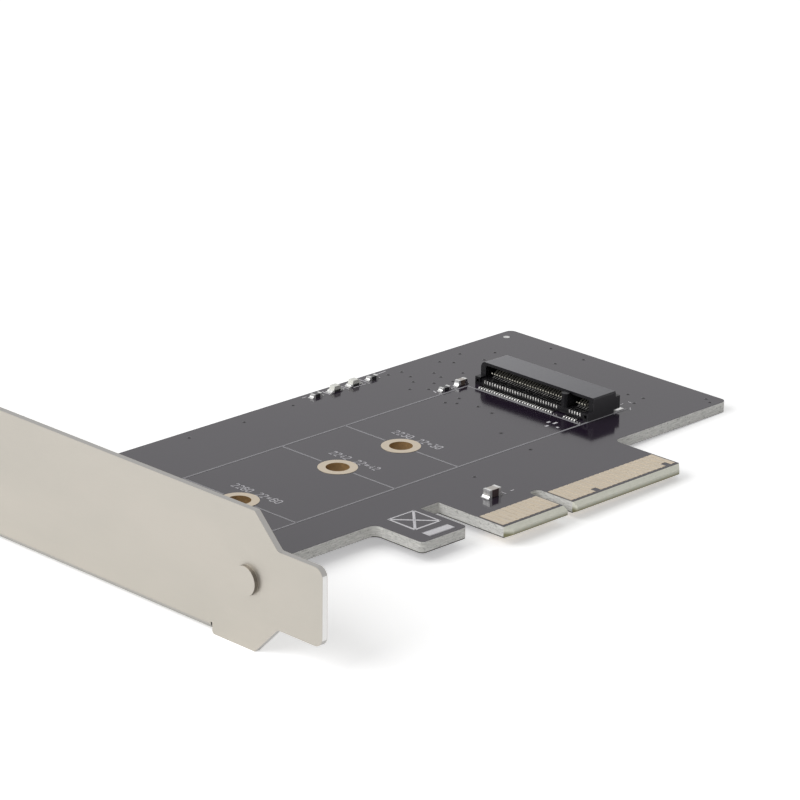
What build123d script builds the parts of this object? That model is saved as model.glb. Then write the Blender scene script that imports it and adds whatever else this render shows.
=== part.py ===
from build123d import *
import os

# Adapter card that carries one stick-shaped solid-state drive: a circuit board with an edge connector,
# a low drive socket, four plated drive holes, a few chip parts and a folded slot bracket.
# Millimetres. Origin: on the centre line of the key notch, at the bottom edge of the edge connector,
# half-way through the board. +X runs from the bracket to the far end, +Y away from the connector's
# edge, +Z out of the component side.

# Circuit board
BOARD_THICKNESS = 1.6
BOARD_RIGHT = 46.04
BOARD_BACK = 55.34
BODY_EDGE = 12.9
BOARD_CORNER = 1.0
INNER_CORNER = 1.2

# Edge connector and the tab beside it
CONNECTOR_LEFT = -12.15
CONNECTOR_RIGHT = 22.15
CONNECTOR_CORNER = 0.95
NOTCH_WIDTH = 1.9
NOTCH_DEPTH = 7.3
BEVEL_HEIGHT = 0.95
BEVEL_DEPTH = 0.47
TAB_LEFT = -23.8
TAB_EDGE = 4.2
TAB_CORNER = 0.7
SLOT_WIDTH = 3.35
SLOT_END = 12.9

# Gold contacts of the edge connector: one group on each side of the notch
FINGER_PITCH = 1.0
FINGER_WIDTH = 0.7
FINGER_FROM_KEY = 1.5
FINGER_BOTTOM = 1.35
FINGER_TOP = 5.6
SHORT_FINGER_BOTTOM = 2.35
FINGERS_LEFT = 11
FINGERS_RIGHT = 21
SHORT_FINGERS = (17, 31)
COPPER = 0.04

# Drive: where its end stops in the socket, its centre line and the lengths that the holes serve
DRIVE_END = 29.1
DRIVE_Y = 31.23
DRIVE_LENGTHS = (30, 42, 60, 80)
RING_PAD = 5.5
RING_BORE = 3.3

# Drive socket, heights counted from the board's top face
SOCKET_HEIGHT = 3.2
CHEEK_WALL = 0.95
MOUTH_MARGIN = 0.75
MOUTH_FLOOR = 0.95
CHEEK_HEIGHT = 1.2
CHEEK_POCKET = 0.45
CHEEK_POCKET_BASE = 0.4
LIP_HEIGHT = 0.42
LIP_DEPTH = 0.22
ROOF_WALL = 0.45
LEDGE_HEIGHT = 2.4
JAW_REACH = 4.2
ROOF_REACH = 3.05
ROOF_BACK = 1.5
LEDGE_BACK = 2.4
ROOF_ROUND_LEFT = 0.9
ROOF_ROUND_RIGHT = 0.25
KEY_OFFSET = 6.125
KEY_WIDTH = 1.15
UNDERSIDE_GAP = 0.15
PEG_RADIUS = 0.55
PEG_CLEARANCE = 0.05
PEG_LENGTH = 1.1
PEG_INSET = 0.75
PEG_FROM_END = 1.2

# Socket contacts: 75 positions, odd ones soldered in front, even ones behind, eight left out at the key
PIN_COUNT = 75
PIN_PITCH = 0.25
KEYED_PINS = range(59, 67)
PIN_WIDTH = 0.2
PIN_SHEET = 0.14
PIN_GROOVE = 0.3
FRONT_GROOVE_FLOOR = 0.7
TAIL_REACH = 0.9

# Sprung ends of the contacts, back from the drive's stop in front and from the roof's edge behind
FRONT_BEAM = 2.4
FRONT_CROWN = 1.2
FRONT_TIP = 0.6
FRONT_RISE = 0.4
FRONT_DROP = 0.15
REAR_TIP = 0.25
REAR_CROWN = 0.75
REAR_BEAM = 2.05
REAR_DROP = 0.75
REAR_LIFT = 0.3

# Hold-downs at the socket's rear corners
HOLD_LENGTH = 2.1
HOLD_WIDTH = 1.2
HOLD_SHEET = 0.2
HOLD_NOTCH = 0.5
HOLD_BLADE = 0.8
HOLD_BLADE_HEIGHT = 1.5
HOLD_START = 1.2

# Slot bracket
BRACKET_FACE = -57.15
SHEET = 0.86
BOARD_TO_BRACKET = 0.39
BRACKET_LOW = -3.03
BRACKET_WIDTH = 18.42
BRACKET_TOP = 107.83
TONGUE_END = -12.19
TONGUE_WIDTH = 10.19
TAPER_START = -0.33
TONGUE_CORNER = 1.3
TONGUE_NECK = 0.8
BEND_INSIDE = 0.35
RECESS_START = 7.1
FLANGE_DEPTH = 11.43
FLANGE_CORNER = 1.5
SCREW_NOTCH_WIDTH = 4.42
SCREW_NOTCH_DEPTH = 4.1
SCREW_NOTCH_FROM_FACE = 6.35
DIMPLE_Y = 1.0
DIMPLE_Z = 6.05
DIMPLE_RADIUS = 1.95
DIMPLE_RISE = 0.6
DIMPLE_SHEAR = 0.2

# Rail folded from the bracket under the board, its two lugs with drawn seats, and the board's screws
RAIL_DROP = 1.1
RAIL_DEPTH = 2.2
RAIL_RELIEF = 0.3
RAIL_PAST_LUG = 1.5
LUG_CENTRES = (18.0, 47.0)
LUG_WIDTH = 9.5
LUG_LENGTH = 9.6
LUG_CORNER = 1.5
LUG_ROOT = 0.8
SEAT_RADIUS = 3.2
SCREW_FROM_EDGE = 4.6
SCREW_RADIUS = 1.45
SCREW_CLEARANCE = 0.15
SCREW_LENGTH = 3.6
HEAD_RADIUS = 2.8
HEAD_HEIGHT = 1.8
HEAD_EDGE = 0.9
HEAD_CROWN = 1.9
CROSS_WIDTH = 0.75
CROSS_SPAN = 3.0
CROSS_DEPTH = 1.0

# Chip parts: a fired body in two wrapped metal ends
CHIP_CAP = 0.03
SMALL_CHIP = (1.6, 0.8, 0.5)
SOCKET_CAPACITOR = (1.7, 0.85, 0.85)
EDGE_CAPACITOR = (2.1, 1.25, 1.15)
SMALL_CHIP_END = 0.35
CAPACITOR_END = 0.42
BACK_ROW_INSET = 1.69
BACK_ROW_X = 4.4
BACK_ROW_PITCH = 3.7
SOCKET_ROW_GAP = 1.07
SOCKET_CAPACITOR_AHEAD = 6.0
SOCKET_RESISTOR_AHEAD = 9.3
EDGE_CAPACITOR_X = -5.3
EDGE_CAPACITOR_RISE = 4.05

# Indicator lamps: a clear lens moulded on a small base
LAMP_LENGTH = 2.0
LAMP_WIDTH = 1.0
LAMP_BASE = 0.3
LAMP_HEIGHT = 0.85
LAMP_SHOULDER = 0.3

# Places that follow from the sizes above
TOP = BOARD_THICKNESS / 2
BRACKET_INNER = BRACKET_FACE + SHEET
BOARD_LEFT = BRACKET_INNER + BOARD_TO_BRACKET
TAB_RIGHT = CONNECTOR_LEFT - SLOT_WIDTH
BRACKET_HIGH = BRACKET_LOW + BRACKET_WIDTH
SCREW_X = BOARD_LEFT + SCREW_FROM_EDGE
RAIL_TOP = -TOP - RAIL_DROP
RAIL_START = RECESS_START + RAIL_TOP - SHEET - BRACKET_LOW + RAIL_RELIEF
RAIL_END = LUG_CENTRES[-1] + LUG_WIDTH / 2 + RAIL_PAST_LUG
JAW_FRONT = DRIVE_END - JAW_REACH
ROOF_FRONT = DRIVE_END - ROOF_REACH
ROOF_REAR = DRIVE_END + ROOF_BACK
LEDGE_REAR = DRIVE_END + LEDGE_BACK
ROOF_UNDER = SOCKET_HEIGHT - ROOF_WALL
MOUTH_WIDTH = (PIN_COUNT - 1) * PIN_PITCH + 2 * MOUTH_MARGIN
SOCKET_WIDTH = MOUTH_WIDTH + 2 * CHEEK_WALL
CHEEK_Y = (MOUTH_WIDTH + CHEEK_WALL) / 2
PEG_X = DRIVE_END - PEG_FROM_END
PEG_REACH = SOCKET_WIDTH / 2 - PEG_INSET
HOLD_X = DRIVE_END + HOLD_START
BACK_ROW_Y = BOARD_BACK - BACK_ROW_INSET
SOCKET_ROW_Y = DRIVE_Y + SOCKET_WIDTH / 2 + SOCKET_ROW_GAP
SOCKET_CAPACITOR_X = DRIVE_END - SOCKET_CAPACITOR_AHEAD
SOCKET_RESISTOR_X = DRIVE_END - SOCKET_RESISTOR_AHEAD
EDGE_CAPACITOR_Y = FINGER_TOP + EDGE_CAPACITOR_RISE


def block(x, y, z):
    """A box between two values on each axis."""
    return Pos(x[0], y[0], z[0]) * Box(
        x[1] - x[0], y[1] - y[0], z[1] - z[0], align=(Align.MIN, Align.MIN, Align.MIN)
    )


def rod(x, y, low, high, radius):
    """An upright cylinder between two heights."""
    return Pos(x, y, low) * Cylinder(radius, high - low, align=(Align.CENTER, Align.CENTER, Align.MIN))


def outline(points):
    """A flat face inside straight lines between the points."""
    return make_face(Polyline(*points, close=True))


def rounded(face, corners, radius):
    """The face with the vertices nearest to the given corners rounded."""
    chosen = [face.vertices().sort_by_distance(Vector(*corner))[0] for corner in corners]
    return fillet(chosen, radius)


def finger_x(number):
    """The centre of a contact, counted from the bracket side across the notch."""
    if number <= FINGERS_LEFT:
        return -FINGER_FROM_KEY - (FINGERS_LEFT - number) * FINGER_PITCH
    return FINGER_FROM_KEY + (number - FINGERS_LEFT - 1) * FINGER_PITCH


def pin_y(number):
    """The centre of a socket contact across the socket."""
    return DRIVE_Y - (number - (PIN_COUNT + 1) / 2) * PIN_PITCH


def hole_x(length):
    """The centre of the drive hole for a drive of that length."""
    return DRIVE_END - length


def board_outline():
    """The card's outline with its connector, key notch, tab and the slot between them."""
    corners = [
        (BOARD_LEFT, BODY_EDGE),
        (TAB_LEFT, BODY_EDGE),
        (TAB_LEFT, TAB_EDGE),
        (TAB_RIGHT, TAB_EDGE),
        (TAB_RIGHT, BODY_EDGE),
        (CONNECTOR_LEFT, BODY_EDGE),
        (CONNECTOR_LEFT, 0),
        (CONNECTOR_RIGHT, 0),
        (CONNECTOR_RIGHT, BODY_EDGE),
        (BOARD_RIGHT, BODY_EDGE),
        (BOARD_RIGHT, BOARD_BACK),
        (BOARD_LEFT, BOARD_BACK),
    ]
    face = outline(corners)
    low = [face.vertices().sort_by_distance(Vector(*corners[n]))[0] for n in (6, 7)]
    face = chamfer(low, CONNECTOR_CORNER)
    face = rounded(face, [corners[9], corners[10], corners[11], corners[0]], BOARD_CORNER)
    face = rounded(face, [corners[1], corners[8]], INNER_CORNER)
    face = rounded(face, [corners[2], corners[3]], TAB_CORNER)
    slot_x = (TAB_RIGHT + CONNECTOR_LEFT) / 2
    slot_round = SLOT_END - SLOT_WIDTH / 2
    face -= Pos(slot_x, slot_round) * Circle(SLOT_WIDTH / 2)
    face -= Pos(slot_x, (BODY_EDGE + slot_round) / 2) * Rectangle(SLOT_WIDTH, abs(BODY_EDGE - slot_round))
    notch_round = NOTCH_DEPTH - NOTCH_WIDTH / 2
    face -= Pos(0, notch_round / 2) * Rectangle(NOTCH_WIDTH, notch_round)
    face -= Pos(0, notch_round) * Circle(NOTCH_WIDTH / 2)
    return face


def circuit_board():
    board = extrude(Pos(0, 0, -TOP) * board_outline(), BOARD_THICKNESS)
    for side in (1, -1):
        wedge = outline([(0, side * TOP), (0, side * (TOP - BEVEL_DEPTH)), (BEVEL_HEIGHT, side * TOP)])
        width = CONNECTOR_RIGHT - CONNECTOR_LEFT
        board -= extrude(Plane.YZ.offset(CONNECTOR_LEFT) * wedge, width)
    for length in DRIVE_LENGTHS:
        board -= rod(hole_x(length), DRIVE_Y, -TOP, TOP, RING_BORE / 2)
    for y in LUG_CENTRES:
        board -= rod(SCREW_X, y, -TOP, TOP, SCREW_RADIUS + SCREW_CLEARANCE)
    for side in (1, -1):
        board -= rod(PEG_X, DRIVE_Y + side * PEG_REACH, -TOP, TOP, PEG_RADIUS + PEG_CLEARANCE)
    return board


def edge_contacts(side):
    """The row of gold contacts on one side of the connector, 1 for the component side."""
    face = TOP if side > 0 else -TOP - COPPER
    fingers = []
    for number in range(1, FINGERS_LEFT + FINGERS_RIGHT + 1):
        short = side > 0 and number in SHORT_FINGERS
        low = SHORT_FINGER_BOTTOM if short else FINGER_BOTTOM
        x = finger_x(number)
        fingers.append(
            block((x - FINGER_WIDTH / 2, x + FINGER_WIDTH / 2), (low, FINGER_TOP), (face, face + COPPER))
        )
    return Compound(children=fingers)


def hole_ring(length):
    """The two round pads that ring a drive hole, one on each face."""
    pad = Circle(RING_PAD / 2) - Circle(RING_BORE / 2)
    centre = (hole_x(length), DRIVE_Y)
    return Compound(children=[extrude(Pos(*centre, low) * pad, COPPER) for low in (TOP, -TOP - COPPER)])


def across(section, width, y=DRIVE_Y):
    """A section drawn along X and Z, from the board's top face, made as wide as given about y."""
    plane = Plane(origin=(0, y - width / 2, TOP), x_dir=(1, 0, 0), z_dir=(0, -1, 0))
    return extrude(plane * section, -width)


def socket_shell():
    """The housing's outer form: a low jaw in front, a roof with rounded ends and a rear ledge."""
    side_view = outline([
        (JAW_FRONT, 0),
        (JAW_FRONT, CHEEK_HEIGHT),
        (ROOF_FRONT, CHEEK_HEIGHT),
        (ROOF_FRONT, SOCKET_HEIGHT),
        (ROOF_REAR, SOCKET_HEIGHT),
        (ROOF_REAR, LEDGE_HEIGHT),
        (LEDGE_REAR, LEDGE_HEIGHT),
        (LEDGE_REAR, 0),
    ])
    shell = across(side_view, SOCKET_WIDTH)
    for end, radius in ((-1, ROOF_ROUND_LEFT), (0, ROOF_ROUND_RIGHT)):
        shell = fillet(shell.edges().filter_by(Axis.X).group_by(Axis.Z)[-1].sort_by(Axis.Y)[end], radius)
    return shell


def socket_mouth():
    """The space that the drive's end goes into, rounded in its upper left corner as the roof is outside."""
    space = block(
        (JAW_FRONT, DRIVE_END),
        (DRIVE_Y - MOUTH_WIDTH / 2, DRIVE_Y + MOUTH_WIDTH / 2),
        (TOP + MOUTH_FLOOR, TOP + ROOF_UNDER),
    )
    corner = space.edges().filter_by(Axis.X).group_by(Axis.Z)[-1].sort_by(Axis.Y)[-1]
    return fillet(corner, ROOF_ROUND_LEFT - ROOF_WALL)


def front_groove(y):
    """The groove of one front contact: up behind the jaw's lip and along the mouth's floor."""
    half = PIN_GROOVE / 2
    lip = JAW_FRONT + LIP_DEPTH
    riser = block((lip, lip + PIN_GROOVE), (y - half, y + half), (TOP, TOP + MOUTH_FLOOR))
    bed = block(
        (lip, DRIVE_END - PIN_GROOVE), (y - half, y + half), (TOP + FRONT_GROOVE_FLOOR, TOP + MOUTH_FLOOR)
    )
    return riser + bed


def rear_groove(y):
    """The groove of one rear contact: up the ledge's back and through the rear wall into the mouth."""
    half = PIN_GROOVE / 2
    riser = block((LEDGE_REAR - PIN_GROOVE, LEDGE_REAR), (y - half, y + half), (TOP, TOP + LEDGE_HEIGHT))
    passage = block(
        (DRIVE_END, LEDGE_REAR), (y - half, y + half), (TOP + LEDGE_HEIGHT - PIN_GROOVE, TOP + LEDGE_HEIGHT)
    )
    return riser + passage


def socket_key():
    """The post that only a drive notched for it can pass, rounded in front and merging with the roof."""
    y = DRIVE_Y - KEY_OFFSET
    round_x = JAW_FRONT + KEY_WIDTH / 2
    low = TOP + MOUTH_FLOOR
    post = rod(round_x, y, low, TOP + ROOF_UNDER + ROOF_WALL / 2, KEY_WIDTH / 2)
    return post + block((round_x, DRIVE_END), (y - KEY_WIDTH / 2, y + KEY_WIDTH / 2), (low, TOP + ROOF_UNDER))


def front_pins():
    return [n for n in range(1, PIN_COUNT + 1, 2) if n not in KEYED_PINS]


def rear_pins():
    return [n for n in range(2, PIN_COUNT, 2) if n not in KEYED_PINS]


def socket_housing():
    housing = socket_shell() - socket_mouth()
    inner = (DRIVE_Y - MOUTH_WIDTH / 2, DRIVE_Y + MOUTH_WIDTH / 2)
    housing -= block((JAW_FRONT, LEDGE_REAR), inner, (TOP, TOP + UNDERSIDE_GAP))
    housing -= block((JAW_FRONT, JAW_FRONT + LIP_DEPTH), inner, (TOP + LIP_HEIGHT, TOP + MOUTH_FLOOR))
    housing += socket_key()
    for number in front_pins():
        housing -= front_groove(pin_y(number))
    for number in rear_pins():
        housing -= rear_groove(pin_y(number))
    for side in (1, -1):
        wall = DRIVE_Y + side * SOCKET_WIDTH / 2
        inboard = wall - side * (HOLD_WIDTH + HOLD_SHEET)
        cheek = DRIVE_Y + side * CHEEK_Y
        housing -= block(
            (JAW_FRONT, JAW_FRONT + CHEEK_POCKET),
            (cheek - CHEEK_POCKET / 2, cheek + CHEEK_POCKET / 2),
            (TOP + CHEEK_POCKET_BASE, TOP + CHEEK_POCKET_BASE + CHEEK_POCKET),
        )
        housing -= block((HOLD_X, LEDGE_REAR), sorted((wall, inboard)), (TOP, TOP + HOLD_NOTCH))
        housing -= hold_down_blade(side)
        housing += rod(PEG_X, DRIVE_Y + side * PEG_REACH, TOP - PEG_LENGTH, TOP, PEG_RADIUS)
    return housing


def strip(points):
    """A bent strip of contact sheet whose lower face runs through the points."""
    line = Polyline(*points)
    return make_face(offset(line, PIN_SHEET, side=Side.LEFT, kind=Kind.INTERSECTION).edges())


def front_contacts():
    """The odd contacts: soldered in front, passed under the lip, laid in grooves and sprung up inside."""
    floor = FRONT_GROOVE_FLOOR
    riser = JAW_FRONT + LIP_DEPTH + PIN_SHEET
    section = strip([
        (JAW_FRONT - TAIL_REACH, 0),
        (riser, 0),
        (riser, floor),
        (DRIVE_END - FRONT_BEAM, floor),
        (DRIVE_END - FRONT_CROWN, floor + FRONT_RISE),
        (DRIVE_END - FRONT_TIP, floor + FRONT_RISE - FRONT_DROP),
    ])
    return Compound(children=[across(section, PIN_WIDTH, pin_y(n)) for n in front_pins()])


def rear_contacts():
    """The even contacts: soldered behind the ledge and bent down from under the roof into the mouth."""
    passage = LEDGE_HEIGHT - PIN_GROOVE
    riser = LEDGE_REAR - PIN_GROOVE
    section = strip([
        (ROOF_FRONT + REAR_TIP, passage - REAR_DROP + REAR_LIFT),
        (ROOF_FRONT + REAR_CROWN, passage - REAR_DROP),
        (ROOF_FRONT + REAR_BEAM, passage),
        (riser, passage),
        (riser, 0),
        (LEDGE_REAR + TAIL_REACH, 0),
    ])
    return Compound(children=[across(section, PIN_WIDTH, pin_y(n)) for n in rear_pins()])


def hold_down_blade(side):
    """The upright blade of a hold-down, pressed into its slot in the housing."""
    middle = DRIVE_Y + side * (SOCKET_WIDTH / 2 - HOLD_WIDTH / 2)
    return block(
        (HOLD_X + HOLD_SHEET, HOLD_X + HOLD_SHEET + HOLD_BLADE),
        (middle - HOLD_SHEET / 2, middle + HOLD_SHEET / 2),
        (TOP + HOLD_SHEET, TOP + HOLD_SHEET + HOLD_BLADE_HEIGHT),
    )


def hold_down(side):
    """A soldered foot under the socket's rear corner with a blade up into the housing."""
    wall = DRIVE_Y + side * SOCKET_WIDTH / 2
    inboard = wall - side * HOLD_WIDTH
    foot = block((HOLD_X, HOLD_X + HOLD_LENGTH), sorted((wall, inboard)), (TOP, TOP + HOLD_SHEET))
    return foot + hold_down_blade(side)


def bracket_outline():
    """The bracket's flat form along Y and Z: a wide strip, a tapered neck and a rounded tongue."""
    inset = (BRACKET_WIDTH - TONGUE_WIDTH) / 2
    neck = TAPER_START - inset
    low, high = BRACKET_LOW, BRACKET_HIGH
    recess = RAIL_TOP - SHEET
    slope = recess - low
    end = RAIL_END + RAIL_RELIEF
    top = BRACKET_TOP - SHEET - BEND_INSIDE
    tongue = [(TONGUE_END, low + inset), (TONGUE_END, high - inset)]
    throat = [(neck, low + inset), (neck, high - inset)]
    face = outline([
        tongue[0],
        tongue[1],
        throat[1],
        (TAPER_START, high),
        (top, high),
        (top, low),
        (end + slope, low),
        (end, recess),
        (RECESS_START + slope, recess),
        (RECESS_START, low),
        (TAPER_START, low),
        throat[0],
    ])
    face = rounded(face, tongue, TONGUE_CORNER)
    return rounded(face, throat, TONGUE_NECK)


def folded(path, plane, width):
    """Sheet folded along a path in its mid-plane, extruded to the given width."""
    line = FilletPolyline(*path, radius=BEND_INSIDE + SHEET / 2)
    return extrude(plane * trace(line, SHEET), width)


def lugs():
    """The two lugs that reach from the rail under the board, as flat forms, with rounded corners and roots."""
    root, tip = BRACKET_INNER + RAIL_DEPTH, BRACKET_INNER + LUG_LENGTH
    start = BRACKET_INNER + BEND_INSIDE
    form = Pos((start + root) / 2, (RAIL_START + RAIL_END) / 2) * Rectangle(root - start, RAIL_END - RAIL_START)
    for y in LUG_CENTRES:
        form += Pos((start + tip) / 2, y) * Rectangle(tip - start, LUG_WIDTH)
    sides = [y + way * LUG_WIDTH / 2 for y in LUG_CENTRES for way in (-1, 1)]
    form = rounded(form, [(root, y) for y in sides], LUG_ROOT)
    return rounded(form, [(tip, y) for y in sides], LUG_CORNER)


def seat(y):
    """A seat drawn up from a lug to the board, and the hollow that the drawing leaves under it."""
    base = SEAT_RADIUS + RAIL_DROP
    cone = Cone(base, SEAT_RADIUS, RAIL_DROP, align=(Align.CENTER, Align.CENTER, Align.MIN))
    return Pos(SCREW_X, y, RAIL_TOP) * cone, Pos(SCREW_X, y, RAIL_TOP - SHEET) * cone


def rail():
    """The fold along the board's edge: a narrow rail, and two lugs that carry the board on drawn seats."""
    middle = BRACKET_FACE + SHEET / 2
    level = RAIL_TOP - SHEET / 2
    start = RAIL_TOP + BEND_INSIDE + SHEET
    plane = Plane(origin=(0, RAIL_START, 0), x_dir=(1, 0, 0), z_dir=(0, -1, 0))
    path = [(middle, start), (middle, level), (BRACKET_INNER + RAIL_DEPTH, level)]
    fold = folded(path, plane, RAIL_START - RAIL_END)
    fold += extrude(Pos(0, 0, RAIL_TOP - SHEET) * lugs(), SHEET)
    for y in LUG_CENTRES:
        boss, hollow = seat(y)
        fold = fold + boss - hollow - rod(SCREW_X, y, RAIL_TOP - SHEET, -TOP, SCREW_RADIUS)
    return fold


def flange():
    """The fold at the bracket's top that sits on the chassis, with its open screw notch."""
    middle = BRACKET_FACE + SHEET / 2
    level = BRACKET_TOP - SHEET / 2
    start = BRACKET_TOP - SHEET - BEND_INSIDE - SHEET
    tip = BRACKET_FACE - FLANGE_DEPTH
    plane = Plane.XY.offset(BRACKET_LOW)
    shelf = folded([(middle, start), (middle, level), (tip, level)], plane, BRACKET_WIDTH)
    shelf = fillet(shelf.edges().filter_by(Axis.Y).group_by(Axis.X)[0], FLANGE_CORNER)
    x = BRACKET_FACE - SCREW_NOTCH_FROM_FACE
    half = SCREW_NOTCH_WIDTH / 2
    round_z = BRACKET_LOW + SCREW_NOTCH_DEPTH
    low, high = BRACKET_TOP - SHEET, BRACKET_TOP
    shelf -= block((x - half, x + half), (low, high), (BRACKET_LOW, round_z))
    hole = Plane(origin=(x, low, round_z), x_dir=(1, 0, 0), z_dir=(0, 1, 0)) * Circle(half)
    return shelf - extrude(hole, SHEET)


def dimple():
    """The half-sheared round stud: pressed in from the inner face, standing out of the outer one."""
    place = Pos(DIMPLE_Y, DIMPLE_Z)
    stud = Plane.YZ.offset(BRACKET_FACE) * place * Circle(DIMPLE_RADIUS)
    hollow = Plane.YZ.offset(BRACKET_INNER) * place * Circle(DIMPLE_RADIUS - DIMPLE_SHEAR)
    return extrude(stud, -DIMPLE_RISE), extrude(hollow, -DIMPLE_RISE)


def bracket():
    plate = extrude(Plane.YZ.offset(BRACKET_FACE) * bracket_outline(), SHEET)
    reach = (RAIL_START - RAIL_RELIEF, RAIL_END + RAIL_RELIEF)
    plate -= block((BRACKET_FACE, BRACKET_INNER), reach, (BRACKET_LOW, RAIL_TOP + BEND_INSIDE))
    stud, hollow = dimple()
    return plate + rail() + flange() + stud - hollow


def screw(y):
    """A bevelled pan-head cross screw through the board into its lug, thread left plain."""
    section = outline([
        (0, HEAD_HEIGHT),
        (0, -SCREW_LENGTH),
        (SCREW_RADIUS, -SCREW_LENGTH),
        (SCREW_RADIUS, 0),
        (HEAD_RADIUS, 0),
        (HEAD_RADIUS, HEAD_EDGE),
        (HEAD_CROWN, HEAD_HEIGHT),
    ])
    body = revolve(Plane.XZ * section, Axis.Z)
    for turn in (0, 90):
        body -= Pos(0, 0, HEAD_HEIGHT - CROSS_DEPTH) * Rot(0, 0, turn) * Box(
            CROSS_SPAN, CROSS_WIDTH, 2 * CROSS_DEPTH, align=(Align.CENTER, Align.CENTER, Align.MIN)
        )
    return Pos(SCREW_X, y, TOP) * body


def seated(x, y, size, lift=0):
    """A box of the given length, width and height standing on the board, or lifted above it."""
    return Pos(x, y, TOP + lift) * Box(*size, align=(Align.CENTER, Align.CENTER, Align.MIN))


def chip(size, end, x, y):
    """A chip part on the board: the fired body and its two wrapped ends."""
    length, width, height = size
    body = seated(x, y, [side - 2 * CHIP_CAP for side in size], CHIP_CAP)
    reach = (length - end) / 2
    ends = [seated(x + way * reach, y, (end, width, height)) - body for way in (1, -1)]
    return body, Compound(children=ends)


def lamp(x, y):
    """An indicator lamp on the board: the base and the moulded lens with drafted ends."""
    base = seated(x, y, (LAMP_LENGTH, LAMP_WIDTH, LAMP_BASE))
    foot = LAMP_LENGTH / 2 - LAMP_SHOULDER
    crown = foot - LAMP_SHOULDER / 2
    side_view = outline([
        (x - foot, LAMP_BASE),
        (x + foot, LAMP_BASE),
        (x + crown, LAMP_HEIGHT),
        (x - crown, LAMP_HEIGHT),
    ])
    return base, across(side_view, LAMP_WIDTH, y)


def assembly():
    """Every node of the card by name."""
    nodes = {
        "circuit_board": circuit_board(),
        "edge_contacts_top": edge_contacts(1),
        "edge_contacts_bottom": edge_contacts(-1),
        "socket_housing": socket_housing(),
        "socket_contacts_front": front_contacts(),
        "socket_contacts_rear": rear_contacts(),
        "socket_hold_down_left": hold_down(1),
        "socket_hold_down_right": hold_down(-1),
        "bracket": bracket(),
        "bracket_screw_lower": screw(LUG_CENTRES[0]),
        "bracket_screw_upper": screw(LUG_CENTRES[1]),
    }
    for length in DRIVE_LENGTHS:
        nodes[f"hole_ring_{length}"] = hole_ring(length)
    chips = {
        "lamp_resistor_left": (SMALL_CHIP, SMALL_CHIP_END, BACK_ROW_X, BACK_ROW_Y),
        "lamp_resistor_right": (SMALL_CHIP, SMALL_CHIP_END, BACK_ROW_X + 3 * BACK_ROW_PITCH, BACK_ROW_Y),
        "socket_resistor": (SMALL_CHIP, SMALL_CHIP_END, SOCKET_RESISTOR_X, SOCKET_ROW_Y),
        "socket_capacitor": (SOCKET_CAPACITOR, CAPACITOR_END, SOCKET_CAPACITOR_X, SOCKET_ROW_Y),
        "edge_capacitor": (EDGE_CAPACITOR, CAPACITOR_END, EDGE_CAPACITOR_X, EDGE_CAPACITOR_Y),
    }
    for name, (size, end, x, y) in chips.items():
        nodes[f"{name}_body"], nodes[f"{name}_ends"] = chip(size, end, x, y)
    for place, name in enumerate(("lamp_left", "lamp_right"), start=1):
        x = BACK_ROW_X + place * BACK_ROW_PITCH
        nodes[f"{name}_base"], nodes[f"{name}_lens"] = lamp(x, BACK_ROW_Y)
    return nodes


os.makedirs("parts", exist_ok=True)
for name, piece in assembly().items():
    export_step(piece, f"parts/{name}.step")
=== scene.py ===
import math

import bmesh
import bpy
from mathutils import Matrix, Vector


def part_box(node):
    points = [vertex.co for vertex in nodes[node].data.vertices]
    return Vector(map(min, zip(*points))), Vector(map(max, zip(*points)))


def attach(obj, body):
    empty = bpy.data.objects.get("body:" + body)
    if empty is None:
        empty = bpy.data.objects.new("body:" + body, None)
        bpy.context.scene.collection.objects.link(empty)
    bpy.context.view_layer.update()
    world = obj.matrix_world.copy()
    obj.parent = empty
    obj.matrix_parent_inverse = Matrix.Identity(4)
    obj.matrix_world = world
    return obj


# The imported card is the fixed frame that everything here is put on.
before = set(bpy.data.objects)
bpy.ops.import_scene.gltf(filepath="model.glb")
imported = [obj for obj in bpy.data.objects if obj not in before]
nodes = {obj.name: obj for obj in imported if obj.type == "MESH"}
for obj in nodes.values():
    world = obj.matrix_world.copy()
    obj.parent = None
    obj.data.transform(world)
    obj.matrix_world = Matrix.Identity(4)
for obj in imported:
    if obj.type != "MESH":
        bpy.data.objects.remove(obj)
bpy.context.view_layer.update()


# Camera: the card is seen from the corner between its bracket and its edge connector, a little from
# above, through a long lens.
MM = 0.001
VIEW_TARGET = Vector((12.107, 44.561, 0.8)) * MM
VIEW_DISTANCE = 537.927 * MM
VIEW_TURN = math.radians(-44.945)
VIEW_RISE = math.radians(19.765)
VIEW_ROLL = math.radians(0.735)
VIEW_LENS = 171.125
VIEW_SENSOR = 36
VIEW_NEAR = 0.01
VIEW_FAR = 20

view = bpy.data.cameras.new("view")
view.lens = VIEW_LENS
view.sensor_width = VIEW_SENSOR
view.clip_start = VIEW_NEAR
view.clip_end = VIEW_FAR
camera = bpy.data.objects.new("camera", view)
bpy.context.scene.collection.objects.link(camera)
backward = Vector((
    math.sin(VIEW_TURN) * math.cos(VIEW_RISE),
    -math.cos(VIEW_TURN) * math.cos(VIEW_RISE),
    math.sin(VIEW_RISE),
))
level = Vector((0, 0, 1)).cross(backward).normalized()
upward = backward.cross(level)
rightward = math.cos(VIEW_ROLL) * level + math.sin(VIEW_ROLL) * upward
skyward = math.cos(VIEW_ROLL) * upward - math.sin(VIEW_ROLL) * level
turned = Matrix((rightward, skyward, backward)).transposed().to_4x4()
camera.matrix_world = Matrix.Translation(VIEW_TARGET + VIEW_DISTANCE * backward) @ turned
bpy.context.scene.camera = camera
bpy.context.scene.view_settings.view_transform = "Standard"


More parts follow.
